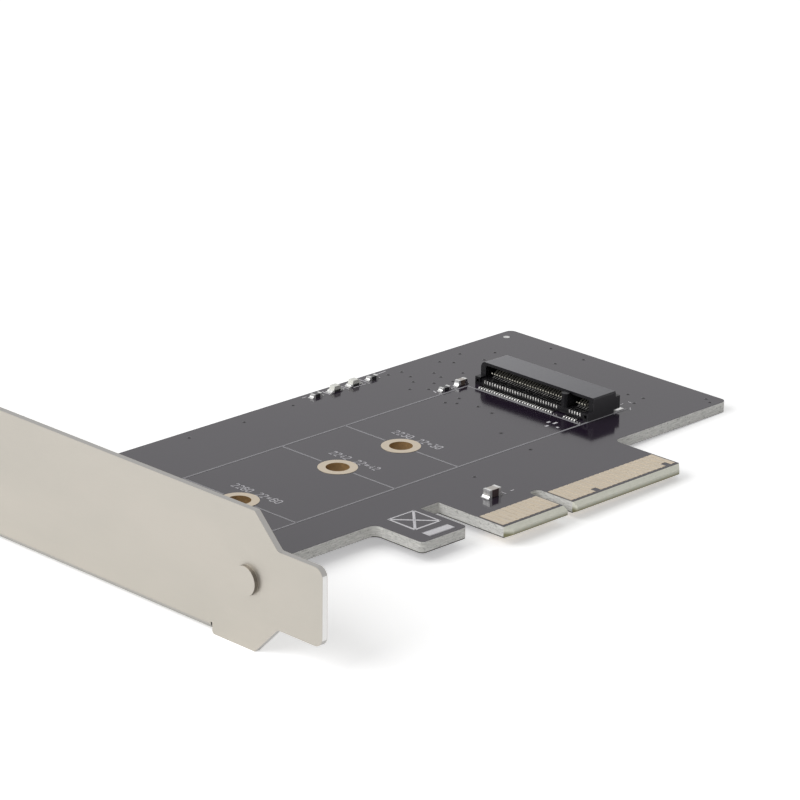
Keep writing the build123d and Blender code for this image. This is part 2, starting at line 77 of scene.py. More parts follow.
# Table and light: a white sweep under one large soft lamp. The card lies component side up on the lower
# edge of its bracket and on the lower edge of its far end, so it leans by about a degree. The table's
# glow and the brighter sky are only seen, straight on or in a gloss, and don't light the card.
BRACKET_REST = Vector((-57.15, 0, -3.03)) * MM
FAR_REST = Vector((46.04, 0, -0.8)) * MM
TABLE_SPAN = 3.0
TABLE_WHITE = (0.95, 0.95, 0.95)
TABLE_GLOW = 0.40
LAMP_SIZE = 0.9
LAMP_PLACE = Vector((-0.76, 0.30, 0.46))
LAMP_POWER = 8.0
SKY_LEVEL = 0.42
GLOSS_LEVEL = 0.88


class Value:
    """One output of a shader node, used in Python sums like a number. A sum on it adds Math nodes."""

    def __init__(self, finish, socket):
        self.finish = finish
        self.socket = socket

    def maths(self, operation, first, second=0.0):
        return self.finish.node("ShaderNodeMath", {"operation": operation}, {0: first, 1: second})

    def __add__(self, other):
        return self.maths("ADD", self, other)

    def __sub__(self, other):
        return self.maths("SUBTRACT", self, other)

    def __rsub__(self, other):
        return self.maths("SUBTRACT", other, self)

    def __mul__(self, other):
        return self.maths("MULTIPLY", self, other)

    def __gt__(self, limit):
        return self.maths("GREATER_THAN", self, limit)

    def __lt__(self, limit):
        return self.maths("LESS_THAN", self, limit)

    def __abs__(self):
        return self.maths("ABSOLUTE", self)

    def between(self, low, high):
        """0 at low and under it, 1 at high and over it, straight between them."""
        ends = {"Value": self, "From Min": low, "From Max": high}
        return self.finish.node("ShaderNodeMapRange", {"data_type": "FLOAT", "clamp": True}, ends)

    __radd__ = __add__
    __rmul__ = __mul__


class Finish:
    """One procedural material, whose nodes read the card's own coordinates in millimetres."""

    def __init__(self, name, tree=None):
        if tree is None:
            self.material = bpy.data.materials.new(name)
            self.material.use_nodes = True
            tree = self.material.node_tree
        self.tree = tree
        self.tree.nodes.clear()

    def node(self, kind, settings=None, inputs=None, output=0):
        """A new node: its settings first, then the values or links of its sockets."""
        made = self.tree.nodes.new(kind)
        for key, setting in (settings or {}).items():
            setattr(made, key, setting)
        for key, value in (inputs or {}).items():
            if isinstance(value, Value):
                self.tree.links.new(value.socket, made.inputs[key])
            else:
                made.inputs[key].default_value = value
        return Value(self, made.outputs[output] if made.outputs else None)

    def place(self):
        """The point on the card in millimetres."""
        point = self.node("ShaderNodeTexCoord", output="Object")
        return self.node("ShaderNodeVectorMath", {"operation": "SCALE"}, {0: point, "Scale": 1 / MM})

    def axes(self):
        """The point's x, y and z in millimetres."""
        split = self.node("ShaderNodeSeparateXYZ", inputs={0: self.place()})
        outputs = split.socket.node.outputs
        return [Value(self, outputs[axis]) for axis in range(3)]

    def grain(self, size, stretch=(1, 1, 1), detail=3.0):
        """Noise whose grains are about size millimetres, drawn out along each axis by stretch."""
        scale = [size * part for part in stretch]
        sized = {"Vector": self.place(), "Scale": scale}
        point = self.node("ShaderNodeMapping", {"vector_type": "TEXTURE"}, sized)
        return self.node("ShaderNodeTexNoise", inputs={"Vector": point, "Scale": 1.0, "Detail": detail})

    def blend(self, low, high, share):
        """A colour between two colours."""
        first, second = [part if isinstance(part, Value) else (*part, 1) for part in (low, high)]
        return self.node("ShaderNodeMix", {"data_type": "RGBA"}, {0: share, 6: first, 7: second}, 2)

    def shaded(self, colour, factor, share):
        """A colour that goes to that many times itself by the share."""
        return self.blend(colour, [part * factor for part in colour], share)

    def bump(self, height, depth):
        """A normal for a relief of that many millimetres."""
        relief = {"Height": height, "Distance": depth * MM, "Strength": 1.0}
        return self.node("ShaderNodeBump", inputs=relief)

    def surface(self, **sockets):
        """Ends the material in a principled shader. Socket names are written with underscores."""
        inputs = {}
        for name, value in sockets.items():
            flat = isinstance(value, tuple) and len(value) == 3
            inputs[name.replace("_", " ")] = (*value, 1) if flat else value
        shader = self.node("ShaderNodeBsdfPrincipled", inputs=inputs)
        self.node("ShaderNodeOutputMaterial", inputs={"Surface": shader})
        return self


lean = (FAR_REST - BRACKET_REST).normalized()
across = Vector((0, 1, 0))
table_mesh = bpy.data.meshes.new("table")
corners = [
    BRACKET_REST + TABLE_SPAN * (along * lean + aside * across)
    for along, aside in ((-1, -1), (1, -1), (1, 1), (-1, 1))
]
table_mesh.from_pydata(corners, [], [(0, 1, 2, 3)])
table = bpy.data.objects.new("table", table_mesh)
bpy.context.scene.collection.objects.link(table)


def seen_rays(finish):
    """1 for what is seen straight on, in a gloss or through glass, and 0 for other light."""
    names = ("Is Camera Ray", "Is Glossy Ray", "Is Transmission Ray")
    straight, mirrored, passed = [finish.node("ShaderNodeLightPath", output=ray) for ray in names]
    return (straight + mirrored + passed) > 0.5


white = Finish("table_white")
matt = white.node("ShaderNodeBsdfDiffuse", inputs={"Color": (*TABLE_WHITE, 1)})
glow = white.node("ShaderNodeEmission", inputs={"Color": (1, 1, 1, 1), "Strength": TABLE_GLOW})
glowing = white.node("ShaderNodeAddShader", inputs={0: matt, 1: glow})
lit = white.node("ShaderNodeMixShader", inputs={0: seen_rays(white), 1: matt, 2: glowing})
white.node("ShaderNodeOutputMaterial", inputs={"Surface": lit})
table_mesh.materials.append(white.material)

world = bpy.data.worlds.new("studio")
bpy.context.scene.world = world
world.use_nodes = True
studio = Finish("studio", world.node_tree)
camera_ray = studio.node("ShaderNodeLightPath", output="Is Camera Ray")
unlit = SKY_LEVEL + (GLOSS_LEVEL - SKY_LEVEL) * seen_rays(studio)
strength = unlit + (1 - GLOSS_LEVEL) * camera_ray
sky = studio.node("ShaderNodeBackground", inputs={"Color": (1, 1, 1, 1), "Strength": strength})
studio.node("ShaderNodeOutputWorld", inputs={"Surface": sky})

softbox = bpy.data.lights.new("softbox", "AREA")
softbox.shape = "SQUARE"
softbox.size = LAMP_SIZE
softbox.energy = LAMP_POWER
lamp = bpy.data.objects.new("softbox", softbox)
lamp.location = LAMP_PLACE
lamp.rotation_euler = (-LAMP_PLACE).to_track_quat("-Z", "Y").to_euler()
bpy.context.scene.collection.objects.link(lamp)


# Circuit board: woven glass in resin with a dark glossy solder mask on both faces. Its outline is cut
# by a router, which leaves a pale, fibrous edge, and the connector's edge is ground to a bevel.
BOARD_TOP = 0.8
MASK_COLOUR = (0.0175, 0.0108, 0.0225)
MASK_TINT = (0.0215, 0.0150, 0.0268)
EDGE_GLASS = (0.56, 0.56, 0.535)
EDGE_RESIN = (0.80, 0.79, 0.76)
EDGE_DARK = (0.22, 0.22, 0.20)
# The darkest edge colour is partly the dark edge of the bottom mask and partly painted shade, along the
# lowest strip of the routed edge near the connector and the tab.
EDGE_MASK_AND_SHADE = (0.07, 0.07, 0.06)
EDGE_GROUND = (0.76, 0.76, 0.64)
# Painted shade on the lower, downward-facing part of the bevel's nose.
EDGE_NOSE_SHADE = (0.24, 0.23, 0.13)
GROUND_SHARE = 0.75
PITTED_SHARE = 0.6
MASK_AND_SHADE_HEIGHT = 0.14
MASK_AND_SHADE_END = 12.8
BEVEL_HEIGHT = 0.95
NOSE_SHADE_FADE = (0.2, -0.3)
MASK_SKIN = 0.03
MASK_ROUGHNESS = 0.10
MASK_UNEVEN = 0.03
ROUTED_ROUGHNESS = 0.7
MASK_IOR = 1.42
RIPPLE_DEPTH = 0.0016
FUZZ_DEPTH = 0.05
BARE_LAMINATE = (0.62, 0.54, 0.42)
CONTACT_LOW = 1.35
CONTACT_HIGH = 5.6
CONTACTS_LEFT = (-11.85, -1.15)
CONTACTS_RIGHT = (1.15, 21.85)
SHORT_CONTACTS = (6.5, 20.5)
SHORT_CONTACT_LOW = 2.35
SHORT_CONTACT_HALF = 0.5


def board_finish():
    finish = Finish("solder_mask")
    x, y, height = finish.axes()
    routed = abs(height) < BOARD_TOP - MASK_SKIN
    mask = finish.blend(MASK_COLOUR, MASK_TINT, finish.grain(14, detail=2))
    plies = finish.grain(0.22, (5, 5, 0.6), 4).between(0.35, 0.7)
    fibres = finish.blend(EDGE_GLASS, EDGE_RESIN, plies)
    pits = finish.grain(0.35, detail=5).between(0.56, 0.72)
    chipped = finish.blend(fibres, EDGE_DARK, pits * PITTED_SHARE)
    # The lowest strip of the routed edge near the connector is painted dark: partly the bottom mask's edge,
    # partly painted shade.
    mask_and_shade = (height < MASK_AND_SHADE_HEIGHT - BOARD_TOP) * (y < MASK_AND_SHADE_END)
    ground = y < BEVEL_HEIGHT
    # The lower part of the bevel's nose is painted dark as shade.
    nose = ground * height.between(*NOSE_SHADE_FADE)
    bevel = finish.blend(chipped, EDGE_GROUND, ground * GROUND_SHARE)
    edge = finish.blend(finish.blend(bevel, EDGE_NOSE_SHADE, nose), EDGE_MASK_AND_SHADE, mask_and_shade)
    blocks = [(x > start) * (x < end) for start, end in (CONTACTS_LEFT, CONTACTS_RIGHT)]
    covered = [(abs(x - place) < SHORT_CONTACT_HALF) * (y < SHORT_CONTACT_LOW) for place in SHORT_CONTACTS]
    band = (blocks[0] + blocks[1]) * (y > CONTACT_LOW) * (y < CONTACT_HIGH)
    bare = band * (1 - covered[0] - covered[1])
    faces = finish.blend(mask, BARE_LAMINATE, bare)
    colour = finish.blend(faces, edge, routed)
    ripple = finish.grain(0.9, detail=2) * RIPPLE_DEPTH
    fuzz = finish.grain(0.12, detail=4) * FUZZ_DEPTH
    relief = finish.bump(ripple + (fuzz - ripple) * routed, 1.0)
    roughness = MASK_ROUGHNESS + MASK_UNEVEN * finish.grain(6, detail=2) + ROUTED_ROUGHNESS * routed
    return finish.surface(Base_Color=colour, Roughness=roughness, IOR=MASK_IOR, Normal=relief)


def dress(node, finish):
    """Gives a CAD node a finish in its own material slots."""
    for slot in nodes[node].material_slots:
        slot.material = finish.material


solder_mask = board_finish()
dress("circuit_board", solder_mask)


# Printed lines: the drive's place is outlined on the board and crossed at each hole, in white ink that is
# screened through a mesh. The long lines and the numbers took less ink than the marks, so they are greyer.
INK_COLOUR = (0.74, 0.73, 0.76)
INK_THIN = (0.31, 0.305, 0.325)
INK_NUMBER = (0.56, 0.55, 0.58)
INK_WORN = 0.8
INK_ROUGHNESS = 0.55
INK_IOR = 1.45
INK_THICKNESS = 0.02
LINE_WIDTH = 0.36
FIELD_LEFT = -55.9
FIELD_RIGHT = 23.4
FIELD_LOW = 20.23
FIELD_HIGH = 42.23
FIELD_MIDDLE = 31.23
FIELD_OVERRUN = 0.4
CORNER_MARK_X = 33.0
DRIVE_STOP = 29.1
HOLE_X = {length: DRIVE_STOP - length for length in (30, 42, 60, 80)}
PAD_CLEAR = 3.05


def add_piece(name, mesh, finish):
    """Joins a new mesh to the card with its finish and its body."""
    mesh.name = name
    mesh.materials.clear()
    mesh.materials.append(finish.material)
    piece = bpy.data.objects.new(name, mesh)
    bpy.context.scene.collection.objects.link(piece)
    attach(piece, "root")


def printed(name, strokes, width, ink):
    """Prints flat ribbons of ink on the board's top, along strokes of points in millimetres."""
    curve = bpy.data.curves.new("strokes", "CURVE")
    curve.dimensions = "3D"
    curve.bevel_depth = width * MM / 2
    curve.bevel_resolution = 1
    curve.use_fill_caps = True
    for points in strokes:
        spline = curve.splines.new("POLY")
        spline.points.add(len(points) - 1)
        for point, (x, y) in zip(spline.points, points):
            point.co = (x * MM, y * MM, 0, 1)
    pen = bpy.data.objects.new("strokes", curve)
    bpy.context.scene.collection.objects.link(pen)
    ready = pen.evaluated_get(bpy.context.evaluated_depsgraph_get())
    mesh = bpy.data.meshes.new_from_object(ready)
    bpy.data.objects.remove(pen)
    for vertex in mesh.vertices:
        vertex.co.z = BOARD_TOP * MM + INK_THICKNESS * MM / 2 + vertex.co.z * INK_THICKNESS / width
    add_piece(name, mesh, ink)


def ink_finish(name, ink):
    finish = Finish(name)
    colour = finish.shaded(ink, INK_WORN, finish.grain(0.25, detail=4).between(0.25, 0.75))
    return finish.surface(Base_Color=colour, Roughness=INK_ROUGHNESS, IOR=INK_IOR)


white_ink = ink_finish("white_ink", INK_COLOUR)
thin_ink = ink_finish("thin_ink", INK_THIN)
number_ink = ink_finish("number_ink", INK_NUMBER)
field_lines = [
    [(FIELD_LEFT, FIELD_HIGH), (FIELD_RIGHT + FIELD_OVERRUN, FIELD_HIGH)],
    [(FIELD_LEFT, FIELD_LOW), (CORNER_MARK_X, FIELD_LOW)],
    [(FIELD_RIGHT, FIELD_HIGH), (FIELD_RIGHT, FIELD_LOW)],
]
for hole in HOLE_X.values():
    field_lines.append([(hole, FIELD_LOW), (hole, FIELD_MIDDLE - PAD_CLEAR)])
    field_lines.append([(hole, FIELD_MIDDLE + PAD_CLEAR), (hole, FIELD_HIGH)])
printed("printed_lines", field_lines, LINE_WIDTH, thin_ink)


# Printed numbers: beside each drive hole stand the drive's width and length, in the same ink, as plain
# stroke figures that read along the holes. Each figure is drawn on a grid of four by six.
FIGURES = {
    "0": [[(1, 0), (3, 0), (4, 1), (4, 5), (3, 6), (1, 6), (0, 5), (0, 1), (1, 0)]],
    "2": [[(0, 5), (1, 6), (3, 6), (4, 5), (4, 4), (0, 0), (4, 0)]],
    "3": [[(0, 6), (4, 6), (2, 3.6), (3, 3.6), (4, 2.6), (4, 1), (3, 0), (1, 0), (0, 1)]],
    "4": [[(3, 0), (3, 6), (0, 2), (4, 2)]],
    "6": [
        [(4, 5), (3, 6), (1, 6), (0, 5), (0, 1), (1, 0), (3, 0), (4, 1), (4, 2.4), (3, 3.4), (0, 3.4)],
    ],
    "8": [
        [(1, 3), (0, 4), (0, 5), (1, 6), (3, 6), (4, 5), (4, 4), (3, 3), (1, 3)],
        [(1, 3), (0, 2), (0, 1), (1, 0), (3, 0), (4, 1), (4, 2), (3, 3)],
    ],
    "*": [[(0.6, 1.6), (3.4, 4.4)], [(0.6, 4.4), (3.4, 1.6)], [(0.2, 3), (3.8, 3)]],
}
FIGURE_UNIT = (0.15, 0.2)
FIGURE_ADVANCE = 0.92
NUMBER_FROM_HOLE = 2.8
CODE_START = 35.9
SIZE_START = 31.2
NUMBER_WIDTH = 0.25


def figures(text, x, y):
    """The strokes of a number that starts at y and reads towards lower y, its foot at x."""
    strokes = []
    wide, tall = FIGURE_UNIT
    for place, figure in enumerate(text):
        start = y - place * FIGURE_ADVANCE
        for stroke in FIGURES[figure]:
            strokes.append([(x + up * tall, start - along * wide) for along, up in stroke])
    return strokes


numbers = []
for length, hole in HOLE_X.items():
    foot = hole + NUMBER_FROM_HOLE
    numbers += figures(f"22{length}", foot, CODE_START)
    numbers += figures(f"22*{length}", foot, SIZE_START)
printed("printed_numbers", numbers, NUMBER_WIDTH, number_ink)


# Printed marks: outlines and polarity signs of the soldered parts, with a bar and a plain crossed box on
# the tab. They are screened on in the same pass as the lines.
MARK_WIDTH = 0.2
DASH_WIDTH = 0.42
BOX_WIDTH = 0.42
BAR_WIDTH = 1.6
TAB_BAR = [(-21.5, 5.85), (-16.9, 5.75)]
TAB_BOX = (-21.3, -16.7, 8.0, 12.9)
MARKS = [
    [(6.45, 52.9), (6.45, 54.6)],
    [(10.0, 52.7), (10.0, 54.4)],
    [(13.9, 53.2), (13.9, 54.9)],
    [(10.9, 52.75), (13.3, 52.75)],
    [(2.5, 54.5), (3.3, 54.5)],
    [(17.2, 54.5), (19.2, 54.7)],
    [(18.0, 43.2), (18.3, 44.0)],
    [(33.0, 19.6), (33.7, 20.2)],
    [(33.5, 22.0), (34.2, 22.0)],
    [(35.3, 21.4), (35.3, 22.0)],
    [(-3.4, 8.9), (-3.4, 10.4)],
    [(-2.2, 9.2), (-1.6, 9.2)],
    [(18.6, 43.1), (23.0, 43.1)],
    [(23.4, 43.1), (24.4, 43.1)],
]
DASHES = [
    [(19.3, 23.1), (19.9, 23.1)],
    [(20.9, 23.1), (21.7, 23.1)],
    [(20.6, 24.0), (21.2, 24.0)],
    [(20.3, 21.5), (20.3, 21.9)],
]

left, right, low, high = TAB_BOX
crossed_box = [
    [(left, low), (right, low), (right, high), (left, high), (left, low)],
    [(left, low), (right, high)],
    [(left, high), (right, low)],
]
printed("printed_box", crossed_box, BOX_WIDTH, white_ink)
printed("printed_dashes", DASHES, DASH_WIDTH, white_ink)
printed("printed_marks", MARKS, MARK_WIDTH, white_ink)
printed("printed_bar", [TAB_BAR], BAR_WIDTH, white_ink)


# Vias: small plated holes that take a trace to the other face. The mask covers their pads as a low rim, and
# a dark disc of painted shade stands in for the sunken mouth. They stand where the photograph shows them, on
# both faces.
VIAS = [
    (27.9, 52.3), (29.2, 50.7), (32.6, 52.8), (36.8, 49.7), (33.3, 48.5), (23.8, 49.4), (18.9, 48.7),
    (20.2, 50.6), (20.7, 52.9), (20.7, 46.3), (23.3, 47.5), (26.9, 46.6), (18.3, 45.0), (16.3, 46.8),
    (16.0, 39.4), (18.7, 39.3), (17.0, 38.1), (18.2, 35.1), (23.2, 45.0), (15.0, 52.9), (-0.5, 53.2),
    (18.4, 53.3), (44.2, 45.4), (39.7, 40.3), (37.6, 24.2), (35.5, 21.1), (38.0, 21.6), (44.3, 15.3),
    (43.6, 14.0), (-10.2, 52.8), (-20.0, 53.3), (44.0, 38.7), (17.7, 31.9), (12.8, 25.4), (11.1, 18.2),
    (-2.0, 16.1),
]
VIA_RIM = 0.36
VIA_RIM_HEIGHT = 0.015
VIA_MOUTH = 0.24
VIA_MOUTH_HEIGHT = 0.02
MOUTH_SHADE_BLACK = (0.004, 0.004, 0.004)
MOUTH_SHADE_BROWN = (0.012, 0.011, 0.01)
MOUTH_ROUGHNESS = 0.9
ROUND = (1.0, 1.0, 1.0)
DAB_SIDES = 12
DAB_TOP_SHARE = 0.8


def dab_tree():
    """Geometry nodes that set a low dab on every point, round or drawn out by the stretch."""
    tree = bpy.data.node_groups.new("round_dabs", "GeometryNodeTree")
    face = tree.interface
    face.new_socket(name="Points", in_out="INPUT", socket_type="NodeSocketGeometry")
    face.new_socket(name="Radius", in_out="INPUT", socket_type="NodeSocketFloat")
    face.new_socket(name="Height", in_out="INPUT", socket_type="NodeSocketFloat")
    face.new_socket(name="Stretch", in_out="INPUT", socket_type="NodeSocketVector")
    face.new_socket(name="Material", in_out="INPUT", socket_type="NodeSocketMaterial")
    face.new_socket(name="Dabs", in_out="OUTPUT", socket_type="NodeSocketGeometry")
    entry = tree.nodes.new("NodeGroupInput")
    dab = tree.nodes.new("GeometryNodeMeshCone")
    dab.inputs["Vertices"].default_value = DAB_SIDES
    narrow = tree.nodes.new("ShaderNodeMath")
    narrow.operation = "MULTIPLY"
    narrow.inputs[1].default_value = DAB_TOP_SHARE
    copies = tree.nodes.new("GeometryNodeInstanceOnPoints")
    real = tree.nodes.new("GeometryNodeRealizeInstances")
    painted = tree.nodes.new("GeometryNodeSetMaterial")
    leave = tree.nodes.new("NodeGroupOutput")
    for start, end in (
        (entry.outputs["Radius"], dab.inputs["Radius Bottom"]),
        (entry.outputs["Radius"], narrow.inputs[0]),
        (narrow.outputs[0], dab.inputs["Radius Top"]),
        (entry.outputs["Height"], dab.inputs["Depth"]),
        (entry.outputs["Points"], copies.inputs["Points"]),
        (dab.outputs["Mesh"], copies.inputs["Instance"]),
        (entry.outputs["Stretch"], copies.inputs["Scale"]),
        (copies.outputs["Instances"], real.inputs["Geometry"]),
        (real.outputs["Geometry"], painted.inputs["Geometry"]),
        (entry.outputs["Material"], painted.inputs["Material"]),
        (painted.outputs["Geometry"], leave.inputs["Dabs"]),
    ):
        tree.links.new(start, end)
    return tree


def grown(tree, points, **values):
    """The plain mesh that a geometry nodes tree makes from loose points in millimetres."""
    seeds = bpy.data.meshes.new("seeds")
    seeds.from_pydata([Vector(point) * MM for point in points], [], [])
    carrier = bpy.data.objects.new("seeds", seeds)
    bpy.context.scene.collection.objects.link(carrier)
    modifier = carrier.modifiers.new("grow", "NODES")
    modifier.node_group = tree
    for item in tree.interface.items_tree:
        if item.in_out == "INPUT" and item.name in values:
            modifier[item.identifier] = values[item.name]
    ready = carrier.evaluated_get(bpy.context.evaluated_depsgraph_get())
    mesh = bpy.data.meshes.new_from_object(ready)
    bpy.data.objects.remove(carrier)
    return mesh


round_dabs = dab_tree()


def dabbed(name, points, radius, height, finish, stretch=ROUND):
    """Sets a low dab on every point and joins them all to the card as one piece."""
    mesh = grown(
        round_dabs, points, Radius=radius * MM, Height=height * MM, Stretch=stretch,
        Material=finish.material,
    )
    add_piece(name, mesh, finish)


# Painted shade: a dark disc that stands in for the depth of each hole.
def via_shade_finish():
    finish = Finish("via_shade")
    colour = finish.blend(MOUTH_SHADE_BLACK, MOUTH_SHADE_BROWN, finish.grain(0.1))
    return finish.surface(Base_Color=colour, Roughness=MOUTH_ROUGHNESS)


via_shade = via_shade_finish()
via_points = [(x, y, side * BOARD_TOP) for x, y in VIAS for side in (1, -1)]
dabbed("via_rims", via_points, VIA_RIM, VIA_RIM_HEIGHT, solder_mask)
dabbed("via_shade_discs", via_points, VIA_MOUTH, VIA_MOUTH_HEIGHT, via_shade)


# Edge contacts and drive-hole pads: copper under nickel and a thin layer of gold, plated on. The slot's
# springs have lightly rubbed the contacts along their length, and a lining of gold goes through each hole.
GOLD = (0.62, 0.53, 0.405)
GOLD_WORN = (0.56, 0.495, 0.415)
GOLD_ROUGHNESS = 0.26
GOLD_UNEVEN = 0.16
GOLD_SCRATCH = 0.0012
LINING_COLOUR = (0.43, 0.27, 0.12)
LINING_DARK = 0.6
LINING_METAL = 0.35
LINING_ROUGHNESS = 0.38
RING_BORE = 1.65
LINING = 0.03
COPPER = 0.04
BORE_SIDES = 48


def gold_finish():
    finish = Finish("gold_contact")
    rubbed = finish.grain(0.08, (1, 14, 1), 4).between(0.45, 0.7)
    colour = finish.blend(GOLD, GOLD_WORN, rubbed)
    roughness = GOLD_ROUGHNESS + GOLD_UNEVEN * finish.grain(0.5, detail=4)
    scratches = finish.bump(finish.grain(0.05, (1, 18, 1), 3), GOLD_SCRATCH)
    return finish.surface(Base_Color=colour, Metallic=1.0, Roughness=roughness, Normal=scratches)


def lining_finish():
    finish = Finish("hole_lining")
    colour = finish.shaded(LINING_COLOUR, LINING_DARK, finish.grain(0.5))
    return finish.surface(Base_Color=colour, Metallic=LINING_METAL, Roughness=LINING_ROUGHNESS)


def closed_mesh(draft, name):
    """Turns a draft of loose faces into a plain mesh whose faces all point outwards."""
    bmesh.ops.recalc_face_normals(draft, faces=draft.faces)
    mesh = bpy.data.meshes.new(name)
    draft.to_mesh(mesh)
    draft.free()
    return mesh


def bore_lining(x, y, reach):
    """The mesh of a thin tube round a drive hole, as far up and down as reach."""
    draft = bmesh.new()
    outer, inner = RING_BORE, RING_BORE - LINING
    turns = [2 * math.pi * step / BORE_SIDES for step in range(BORE_SIDES)]
    rings = []
    for radius, z in ((outer, -reach), (outer, reach), (inner, reach), (inner, -reach)):
        points = [(x + radius * math.cos(turn), y + radius * math.sin(turn), z) for turn in turns]
        rings.append([draft.verts.new(Vector(point) * MM) for point in points])
    for first, second in zip(rings, rings[1:] + rings[:1]):
        for step in range(BORE_SIDES):
            after = (step + 1) % BORE_SIDES
            draft.faces.new((first[step], first[after], second[after], second[step]))
    return closed_mesh(draft, "lining")


gold_contact = gold_finish()
hole_lining = lining_finish()
dress("edge_contacts_top", gold_contact)
dress("edge_contacts_bottom", gold_contact)
for length, hole in HOLE_X.items():
    dress(f"hole_ring_{length}", gold_contact)
    lining_mesh = bore_lining(hole, FIELD_MIDDLE, BOARD_TOP + COPPER)
    add_piece(f"hole_lining_{length}", lining_mesh, hole_lining)


# Drive socket: one moulding in black glass-filled plastic, satin from a fine spark-eroded mould. Its paler
# roof is a painted sheen that grows paler along it, and its paler end wall is painted light.
PLASTIC = (0.0050, 0.0046, 0.0060)
PLASTIC_PALE = (0.0105, 0.0100, 0.0125)
ROOF_SHEEN = (0.122, 0.121, 0.132)
ROOF_SHEEN_PALE = (0.205, 0.203, 0.217)
END_WALL_LIGHT = (0.036, 0.035, 0.039)
PLASTIC_ROUGHNESS = 0.34
PLASTIC_UNEVEN = 0.1
PLASTIC_IOR = 1.36
SPARK_TEXTURE = 0.004
ROOF_TOP = 4.0
ROOF_SKIN = 0.02
ROOF_SHEEN_SPAN = (19.0, 43.0)
WALL_SKIN = 0.05


def plastic_finish():
    finish = Finish("socket_plastic")
    moulded = finish.blend(PLASTIC, PLASTIC_PALE, finish.grain(0.35, detail=5).between(0.4, 0.75))
    y, height = finish.axes()[1:]
    # The end wall is painted lighter as light falling on it, and the roof carries a painted sheen.
    walled = finish.blend(moulded, END_WALL_LIGHT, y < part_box("socket_housing")[0].y / MM + WALL_SKIN)
    roof = finish.blend(ROOF_SHEEN, ROOF_SHEEN_PALE, y.between(*ROOF_SHEEN_SPAN))
    colour = finish.blend(walled, roof, height > ROOF_TOP - ROOF_SKIN)
    roughness = PLASTIC_ROUGHNESS + PLASTIC_UNEVEN * finish.grain(0.8, detail=3)
    texture = finish.bump(finish.grain(0.09, detail=3), SPARK_TEXTURE)
    return finish.surface(Base_Color=colour, Roughness=roughness, IOR=PLASTIC_IOR, Normal=texture)


socket_plastic = plastic_finish()
dress("socket_housing", socket_plastic)


# Socket contacts: strips stamped from bronze spring sheet and pressed into the housing's grooves. They are
# flashed with gold where the drive touches and tinned at the toes, which are soldered to the board.
# The front and rear strips are one metal, painted as lit and shaded copies: the front ones near white as a
# highlight, the rear ones dim as shade.
SPRING_LIT = (0.96, 0.95, 0.92)
SPRING_SHADED = (0.30, 0.29, 0.25)
SPRING_TIN = (0.93, 0.93, 0.91)
# Painted shade on the tails under the housing, between the gold part and the tinned toes.
SPRING_TAIL_SHADE = (0.05, 0.047, 0.045)
SPRING_SHADE = 0.55
SPRING_METAL = 0.75
SPRING_ROUGHNESS = 0.3
SPRING_UNEVEN = 0.14
FRONT_TAIL_END = 24.92
FRONT_TOE = 24.4
REAR_TAIL_START = 31.1
REAR_TOE = 32.0


def spring_finish(name, lit_or_shaded):
    finish = Finish(name)
    x = finish.axes()[0]
    strip = finish.shaded(lit_or_shaded, SPRING_SHADE, finish.grain(1.0, detail=2).between(0.4, 0.62))
    # The tails under the housing are painted dark as shade.
    tail = (x < FRONT_TAIL_END) + (x > REAR_TAIL_START)
    toe = (x < FRONT_TOE) + (x > REAR_TOE)
    colour = finish.blend(finish.blend(strip, SPRING_TAIL_SHADE, tail), SPRING_TIN, toe)
    roughness = SPRING_ROUGHNESS + SPRING_UNEVEN * finish.grain(0.2, detail=3)
    return finish.surface(Base_Color=colour, Metallic=SPRING_METAL, Roughness=roughness)


# Front strips painted bright as a highlight, rear strips painted dim as shade.
dress("socket_contacts_front", spring_finish("front_contact", SPRING_LIT))
dress("socket_contacts_rear", spring_finish("rear_contact", SPRING_SHADED))


# Tinned metal: the socket's hold-downs, the pads under its tails, the wrapped ends of the chip parts, the
# solder that has crept up those ends and the lamps', and a bare dot that an assembly machine takes its
# bearings from.
TIN = (0.78, 0.78, 0.77)
TIN_SHADE = 0.72
TIN_ROUGHNESS = 0.22
TIN_UNEVEN = 0.2
TIN_RIPPLE = 0.01
PAD_RADIUS = 0.13
PAD_HEIGHT = 0.03
PAD_STRETCH = (3.0, 1.0, 1.0)
FRONT_PADS = 24.05
REAR_PADS = 32.3
CONTACT_PITCH = 0.25
CONTACT_MIDDLE = 38
CONTACT_COUNT = 75
KEYED_OUT = range(59, 67)
BEARING_DOT = (43.2, 53.5, BOARD_TOP)
BEARING_RADIUS = 0.5
SOLDER_REACH = 0.4
SOLDER_CLIMB = 0.7
SOLDER_STEPS = 5
SOLDER_TOE = 0.03
SOLDER_FLARE = 0.15
CHIPS = (
    "lamp_resistor_left", "lamp_resistor_right", "socket_resistor",
    "socket_capacitor", "edge_capacitor",
)


def tin_finish():
    finish = Finish("tin_plate")
    colour = finish.shaded(TIN, TIN_SHADE, finish.grain(0.3, detail=4).between(0.4, 0.7))
    roughness = TIN_ROUGHNESS + TIN_UNEVEN * finish.grain(0.25, detail=3)
    ripple = finish.bump(finish.grain(0.2), TIN_RIPPLE)
    return finish.surface(Base_Color=colour, Metallic=1.0, Roughness=roughness, Normal=ripple)


